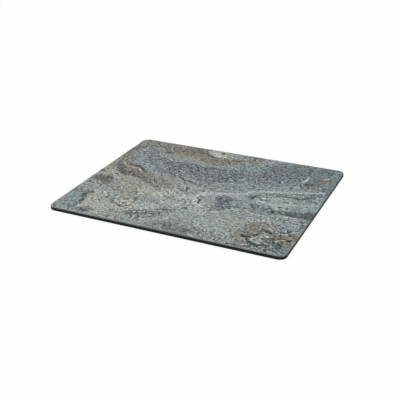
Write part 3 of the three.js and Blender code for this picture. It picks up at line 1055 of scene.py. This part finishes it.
print("swells:", len(SWELLS))

# %% [markdown]
# The grain is what makes it stone when one looks close: a rough surface lit from one side, dark specks of
# mica and pale flecks of quartz. Plain noise gives round grains, so the place is turned and squeezed first,
# which draws them out along the layers.

# %% Grain of the stone
GRAIN_TURN = math.radians(20)
GRAIN_STRETCH = (0.6, 1.2, 0)
GRAIN_BEND = 1.5
GRAIN_ROUGHNESS = 0.6
MICA_SIZE = 2.2
MICA_BEND_SIZE = 5
MICA_RANGE = (0.36, 0.48)
MICA_SHARE = 0.34
QUARTZ_SIZE = 2.0
QUARTZ_BEND_SIZE = 6
QUARTZ_RANGE = (0.54, 0.66)
QUARTZ_SHARE = 0.26
RELIEF_SIZE = 6
RELIEF_DETAIL = 5
RELIEF_STEP = (0.9, 1.2, 0)
RELIEF_CONTRAST = 0.4


def shifted(tree, place, size, by, detail=2.0):
    """The place moved about by noise, up to this many millimetres."""
    cloud = noise(tree, place, size, detail).outputs["Color"]
    move = vector_maths(tree, "SUBTRACT", cloud, (0.5, 0.5, 0.5))
    return vector_maths(tree, "MULTIPLY_ADD", move, (2 * by, 2 * by, 0), place)


def relief(tree, place):
    """Rough stone lit from one side: its height less its height a little further along."""
    further = vector_maths(tree, "ADD", place, RELIEF_STEP)
    here = noise(tree, place, RELIEF_SIZE, RELIEF_DETAIL, GRAIN_ROUGHNESS).outputs["Fac"]
    there = noise(tree, further, RELIEF_SIZE, RELIEF_DETAIL, GRAIN_ROUGHNESS).outputs["Fac"]
    return maths(tree, "SUBTRACT", here, there)


def grain(tree, place):
    """How dark the mica makes the place, how pale the quartz, and the lit roughness around zero."""
    inputs = {"Vector": place, "Angle": -GRAIN_TURN}
    turned = add_node(tree, "ShaderNodeVectorRotate", inputs, rotation_type="Z_AXIS")
    place = vector_maths(tree, "MULTIPLY", turned.outputs[0], GRAIN_STRETCH)
    mica_place = shifted(tree, place, MICA_BEND_SIZE, GRAIN_BEND)
    mica = noise(tree, mica_place, MICA_SIZE, roughness=GRAIN_ROUGHNESS).outputs["Fac"]
    quartz_place = shifted(tree, place, QUARTZ_BEND_SIZE, GRAIN_BEND)
    quartz = noise(tree, quartz_place, QUARTZ_SIZE, roughness=GRAIN_ROUGHNESS).outputs["Fac"]
    dark = soft_step(tree, mica, *MICA_RANGE, MICA_SHARE, 0)
    pale = soft_step(tree, quartz, *QUARTZ_RANGE, 0, QUARTZ_SHARE)
    lit = maths(tree, "MULTIPLY", relief(tree, place), RELIEF_CONTRAST)
    return dark, pale, lit


print("mica and quartz in mm:", MICA_SIZE, QUARTZ_SIZE)

# %% [markdown]
# No stone is rough all over alike. Lively places have more grain, and calm ones, where the stone is polished
# smooth, have less. Speckled places have stronger grain and fainter ledges. Along the tray's edge the print
# is calm as well, which keeps the line between it and the black side clean.

# %% Rough and calm places
CALM = [
    Band(None, [(-150, 92), (-125, 101), (-90, 86), (-45, 77), (8, 77)], (6, 6, 8, 8, 3), 0.25, 4),
    Stain(None, (62, -14), (18, 14), 0.4, 0.3, 20),
    Stain(None, (-149, -86), (14, 16), 0.3, 0.3),
    Stain(None, (110, -2), (34, 11), 0.2, 0.4, 6),
    Stain(None, (-30, 117), (15, 7), 0.3, 0.3, -22),
    Stain(None, (22, -31), (15, 13), 0.4, 0.3, -30),
    Stain(None, (-104, -102), (24, 14), 0.3),
]
LIVELY = [
    Band(None, [(-136, 84), (-106, 68), (-50, 46), (30, 50), (80, 70)], (10, 16, 24, 24, 22), 0.45, 8),
    Stain(None, (-132, 56), (36, 70), 0.25),
    Stain(None, (-5, 112), (32, 14), 0.25),
    Stain(None, (122, -96), (36, 26), 0.2),
    Stain(None, (-40, -104), (30, 16), 0.25, 0.5, 25),
    Stain(None, (90, -122), (50, 12), 0.2),
    Stain(None, (44, -34), (11, 18), 0.3, 0.4, 22),
]
SPECKLED = [
    Stain(None, (40, -90), (75, 40), 0.7),
    Band(None, [(-136, 84), (-106, 66), (-60, 46), (0, 46), (66, 60)], (10, 14, 22, 24, 16), 0.4, 8),
    Stain(None, (110, 88), (60, 42), 0.2, 0.4),
]
QUIET_LEVEL = 0.75
SPECKLE_GROWTH = 0.2
EDGE_CALM = 0.2
EDGE_CALM_WIDTH = 5


def liveliness(tree, place):
    """How strong the grain is: about one, more where the stone is rough, less where it is calm."""
    level = raised(tree, place, QUIET_LEVEL, LIVELY)
    for calm in CALM:
        held = maths(tree, "SUBTRACT", 1.0, share_of(tree, place, calm))
        level = maths(tree, "MULTIPLY", level, held)
    return level


def edge_distance(tree, place):
    """How far the place is from the nearest side of the tray, in millimetres."""
    far = add_node(tree, "ShaderNodeVectorMath", {0: place}, operation="ABSOLUTE").outputs[0]
    room = vector_maths(tree, "SUBTRACT", (HALF_LENGTH / MM, HALF_WIDTH / MM, 0), far)
    split = add_node(tree, "ShaderNodeSeparateXYZ", {0: room})
    return maths(tree, "MINIMUM", split.outputs["X"], split.outputs["Y"])


def worked(tree, place, ragged, colour):
    """The colour with its ledges and grain, and the share of dark in it."""
    inside = soft_step(tree, edge_distance(tree, place), 0, EDGE_CALM_WIDTH, EDGE_CALM, 1.0)
    level = maths(tree, "MULTIPLY", liveliness(tree, ragged), inside)
    speckle = raised(tree, ragged, 0.0, SPECKLED)
    ledge_level = maths(tree, "MULTIPLY", level, maths(tree, "SUBTRACT", 1.0, speckle))
    growth = maths(tree, "MULTIPLY_ADD", speckle, SPECKLE_GROWTH, 1.0)
    grain_level = maths(tree, "MULTIPLY", level, growth)
    foot, crest = layers(tree, ragged)
    mica, quartz, lit = grain(tree, place)
    dark = maths(tree, "MULTIPLY_ADD", foot, ledge_level, maths(tree, "MULTIPLY", mica, grain_level))
    pale = maths(tree, "MULTIPLY_ADD", crest, ledge_level, maths(tree, "MULTIPLY", quartz, grain_level))
    change = maths(tree, "MULTIPLY_ADD", lit, grain_level, maths(tree, "SUBTRACT", pale, dark))
    return vector_maths(tree, "ADD", colour, change), dark


print("calm, lively and speckled places:", len(CALM), len(LIVELY), len(SPECKLED))

# %% [markdown]
# Every stain and band is painted over what lies under it. One tree for all of them would be hard to read, so
# each area of the print is a node group of its own, with the place and the colour so far coming in and the
# new colour going out. A slow drift between warm and cool keeps the large greys from looking flat, and a
# band of painted shade darkens the print where it bends over the shoulder.

# %% Painting the areas
TINT = 0.02
TINT_SIZE = 9
# Painted shade on the shoulder: how dark it gets at the outline, and how far in it reaches in millimetres.
EDGE_SHADE = 0.8
EDGE_SHADE_WIDTH = 2.0


def area_group(number, features):
    """A node group that paints one area's features over the colour that comes in."""
    tree = bpy.data.node_groups.new("print_area_" + str(number), "ShaderNodeTree")
    tree.interface.new_socket("Place", in_out="INPUT", socket_type="NodeSocketVector")
    tree.interface.new_socket("Colour", in_out="INPUT", socket_type="NodeSocketColor")
    tree.interface.new_socket("Colour", in_out="OUTPUT", socket_type="NodeSocketColor")
    place, colour = add_node(tree, "NodeGroupInput").outputs[:2]
    for feature in features:
        colour = mixed(tree, share_of(tree, place, feature), colour, STONE[feature.colour])
    add_node(tree, "NodeGroupOutput", {"Colour": colour})
    return tree


def tinted(tree, place, colour):
    """The colour, drifting a little between warm and cool."""
    drift = noise(tree, place, TINT_SIZE, detail=3, roughness=0.6).outputs["Fac"]
    # Most of the noise lies within a quarter of its middle, so four tints of it give about one each way.
    red = maths(tree, "MULTIPLY_ADD", drift, 4 * TINT, 1 - 2 * TINT)
    blue = maths(tree, "MULTIPLY_ADD", drift, -4 * TINT, 1 + 2 * TINT)
    tint = add_node(tree, "ShaderNodeCombineXYZ", {"X": red, "Y": 1.0, "Z": blue}).outputs[0]
    return vector_maths(tree, "MULTIPLY", colour, tint)


def edge_shade(tree, place):
    """Painted shade: one on the flat top, and less near the outline, where the print bends over the
    shoulder.
    """
    return soft_step(tree, edge_distance(tree, place), 0, EDGE_SHADE_WIDTH, EDGE_SHADE, 1.0)


print("areas of the print:", len(PRINT_AREAS))

# %% [markdown]
# Now the print is put together. The place is bent and then frayed by noise before anything is drawn, which
# makes every edge ragged. A Gamma node turns the finished colours from what a screen shows into light. The
# clear wear layer over the print is satin: a little duller on the dark specks, with a fine bump of its own.

# %% Stone print
BEND_SIZE = 22
BEND = 3
FRAY_SIZE = 5
FRAY = 2
CLOUD_SIZE = 40
GROUND_DARK = screen(132, 139, 138)
GROUND_PALE = screen(150, 155, 151)
SCREEN_GAMMA = 2.2
DARKEST = 0.8
PRINT_ROUGHNESS = (0.42, 0.6)
MELAMINE_SPECULAR = 0.2
WEAR_BUMP_SIZE = 5
WEAR_BUMP_HEIGHT = 0.08


def roughened(tree, shader, height, distance, strength):
    """Links a bump of this height in millimetres to the shader."""
    inputs = {"Height": height, "Distance": distance * MM, "Strength": strength}
    tree.links.new(add_node(tree, "ShaderNodeBump", inputs).outputs[0], shader.inputs["Normal"])


def painted(tree, place, colour):
    """The ground colour with all the areas of the print painted over it."""
    for number, features in enumerate(PRINT_AREAS, 1):
        area = add_node(tree, "ShaderNodeGroup", node_tree=area_group(number, features))
        tree.links.new(place, area.inputs["Place"])
        tree.links.new(colour, area.inputs["Colour"])
        colour = area.outputs["Colour"]
    return colour


def stone_print():
    material, tree, shader = new_material("stone_print")
    spot = add_node(tree, "ShaderNodeTexCoord").outputs["Object"]
    place = vector_maths(tree, "MULTIPLY_ADD", spot, (1 / MM, 1 / MM, 0), (0, 0, 1))
    bent = shifted(tree, place, BEND_SIZE, BEND)
    ragged = shifted(tree, bent, FRAY_SIZE, FRAY, detail=3)
    clouds = noise(tree, bent, CLOUD_SIZE, detail=4, roughness=0.6).outputs["Fac"]
    colour = painted(tree, ragged, mixed(tree, clouds, GROUND_DARK, GROUND_PALE))
    stone, dark = worked(tree, place, ragged, colour)
    # The stone colour is scaled by the painted shade of the shoulder.
    shade = edge_shade(tree, place)
    inputs = {0: tinted(tree, place, stone), "Scale": shade}
    tinted_and_shaded = add_node(tree, "ShaderNodeVectorMath", inputs, operation="SCALE").outputs[0]
    seen = add_node(tree, "ShaderNodeGamma", {"Color": tinted_and_shaded, "Gamma": SCREEN_GAMMA}).outputs[0]
    tree.links.new(seen, shader.inputs["Base Color"])
    tree.links.new(soft_step(tree, dark, 0, DARKEST, *PRINT_ROUGHNESS), shader.inputs["Roughness"])
    shader.inputs["Specular IOR Level"].default_value = MELAMINE_SPECULAR
    rough = noise(tree, place, WEAR_BUMP_SIZE, detail=4, roughness=0.6).outputs["Fac"]
    roughened(tree, shader, rough, WEAR_BUMP_HEIGHT, strength=0.4)
    print("stone print nodes:", len(tree.nodes))
    return material


printed_skin.data.materials.append(stone_print())

# %% [markdown]
# The body is black melamine from a steel mould. The blasted mould leaves a fine satin texture over a
# faint orange peel. The flash along the heel is buffed off, which leaves dull streaks, and the same
# streaks serve as scuffs on the rim that slides over tables. All of it is noise at three sizes in the
# round, so that it runs on over the edges without a texture map.

# %% Black melamine
MELAMINE_BLACK = (0.006, 0.006, 0.0065, 1)
BUFFED_GREY = (0.024, 0.024, 0.025, 1)
BUFFED_HEIGHT = 1.0
BUFFED_TOP = RIM_LEVEL / MM + BUFFED_HEIGHT
BUFFED_FADE = 0.4
BUFFED_DULLNESS = 0.15
SATIN_SIZE = 0.7
SATIN_ROUGHNESS = (0.45, 0.62)
PEEL_SIZE = 6
PEEL_HEIGHT = 2
STREAK_SIZE = 4
STREAK_SQUEEZE = (1, 1, 12)
STREAK_RANGE = (0.5, 0.65)
BODY_BUMP_HEIGHT = 0.03
NOISE_RANGE = (0.3, 0.7)


def place_in_mm(tree):
    spot = add_node(tree, "ShaderNodeTexCoord").outputs["Object"]
    return vector_maths(tree, "MULTIPLY", spot, (1 / MM, 1 / MM, 1 / MM))


def solid_noise(tree, place, size, detail=2.0):
    """Cloudy noise in the round, with blots of about this many millimetres."""
    inputs = {"Vector": place, "Scale": 1 / size, "Detail": detail}
    return add_node(tree, "ShaderNodeTexNoise", inputs).outputs["Fac"]


def black_melamine():
    material, tree, shader = new_material("black_melamine")
    place = place_in_mm(tree)
    satin = solid_noise(tree, place, SATIN_SIZE, detail=3)
    peel = solid_noise(tree, place, PEEL_SIZE)
    level = add_node(tree, "ShaderNodeSeparateXYZ", {0: place}).outputs["Z"]
    buffed = soft_step(tree, level, BUFFED_TOP - BUFFED_FADE, BUFFED_TOP, 1, 0)
    squeezed = vector_maths(tree, "MULTIPLY", place, STREAK_SQUEEZE)
    streaks = solid_noise(tree, squeezed, STREAK_SIZE, detail=4)
    worn = maths(tree, "MULTIPLY", soft_step(tree, streaks, *STREAK_RANGE, 0, 1), buffed)
    tree.links.new(mixed(tree, worn, MELAMINE_BLACK, BUFFED_GREY), shader.inputs["Base Color"])
    gloss = soft_step(tree, satin, *NOISE_RANGE, *SATIN_ROUGHNESS)
    tree.links.new(maths(tree, "MULTIPLY_ADD", worn, BUFFED_DULLNESS, gloss), shader.inputs["Roughness"])
    shader.inputs["Specular IOR Level"].default_value = MELAMINE_SPECULAR
    surface = maths(tree, "MULTIPLY_ADD", peel, PEEL_HEIGHT, satin)
    roughened(tree, shader, surface, BODY_BUMP_HEIGHT, strength=0.5)
    return material


moulded_body.data.materials.append(black_melamine())
print("body finish:", moulded_body.data.materials[0].name)

# %% [markdown]
# The feet are soft dark silicone: matt, a little cloudy, and with the pale lint that silicone picks up. One
# flat grey would look like hard plastic, so noise at three sizes gives the clouds, the lint and the bump.

# %% Silicone
SILICONE_DARK = (0.019, 0.019, 0.020, 1)
SILICONE_LIGHT = (0.032, 0.032, 0.033, 1)
LINT = (0.16, 0.155, 0.15, 1)
CLOUDY_SIZE = 5
LINT_SIZE = 1.1
LINT_RANGE = (0.66, 0.7)
LINT_SHARE = 0.7
SILICONE_BUMP_SIZE = 0.5
SILICONE_BUMP_HEIGHT = 0.03
SILICONE_ROUGHNESS = (0.68, 0.86)
SILICONE_SPECULAR = 0.3


def soft_silicone():
    material, tree, shader = new_material("soft_silicone")
    place = place_in_mm(tree)
    fine = solid_noise(tree, place, SILICONE_BUMP_SIZE, detail=3)
    cloudy = mixed(tree, solid_noise(tree, place, CLOUDY_SIZE), SILICONE_DARK, SILICONE_LIGHT)
    fluff = solid_noise(tree, place, LINT_SIZE, detail=4)
    lint = soft_step(tree, fluff, *LINT_RANGE, 0, LINT_SHARE)
    tree.links.new(mixed(tree, lint, cloudy, LINT), shader.inputs["Base Color"])
    gloss = soft_step(tree, fine, *NOISE_RANGE, *SILICONE_ROUGHNESS)
    tree.links.new(gloss, shader.inputs["Roughness"])
    shader.inputs["Specular IOR Level"].default_value = SILICONE_SPECULAR
    roughened(tree, shader, fine, SILICONE_BUMP_HEIGHT, strength=0.6)
    return material


silicone = soft_silicone()
for foot in silicone_feet:
    foot.data.materials.append(silicone)
print("feet finish:", silicone.name)

# %% [markdown]
# The adhesive behind each foot only shows as a line in the gap round it. It is cloudy acrylic with small
# bubbles, drawn by a Voronoi texture whose cells are the bubbles. Its solids have the right shape, so they
# stay as they are and only get the new material.

# %% Adhesive
ACRYLIC_CLOUDY = (0.60, 0.58, 0.53, 1)
ACRYLIC_BUBBLE = (0.46, 0.44, 0.39, 1)
BUBBLES_PER_MM = 1.6
BUBBLE_RANGE = (0.12, 0.3)
BUBBLE_HEIGHT = 0.04
ACRYLIC_CLOUD_SIZE = 1.5
ACRYLIC_ROUGHNESS = (0.35, 0.6)


def acrylic_adhesive():
    material, tree, shader = new_material("acrylic_adhesive")
    place = place_in_mm(tree)
    cells = add_node(tree, "ShaderNodeTexVoronoi", {"Vector": place, "Scale": BUBBLES_PER_MM})
    bubble = soft_step(tree, cells.outputs["Distance"], *BUBBLE_RANGE, 1, 0)
    tree.links.new(mixed(tree, bubble, ACRYLIC_CLOUDY, ACRYLIC_BUBBLE), shader.inputs["Base Color"])
    clouds = solid_noise(tree, place, ACRYLIC_CLOUD_SIZE, detail=3)
    gloss = soft_step(tree, clouds, *NOISE_RANGE, *ACRYLIC_ROUGHNESS)
    tree.links.new(gloss, shader.inputs["Roughness"])
    roughened(tree, shader, bubble, BUBBLE_HEIGHT, strength=0.6)
    return material


adhesive = acrylic_adhesive()
for name in FOOT_NAMES:
    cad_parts["adhesive_" + name].material_slots[0].material = adhesive
print("adhesive finish:", adhesive.name)
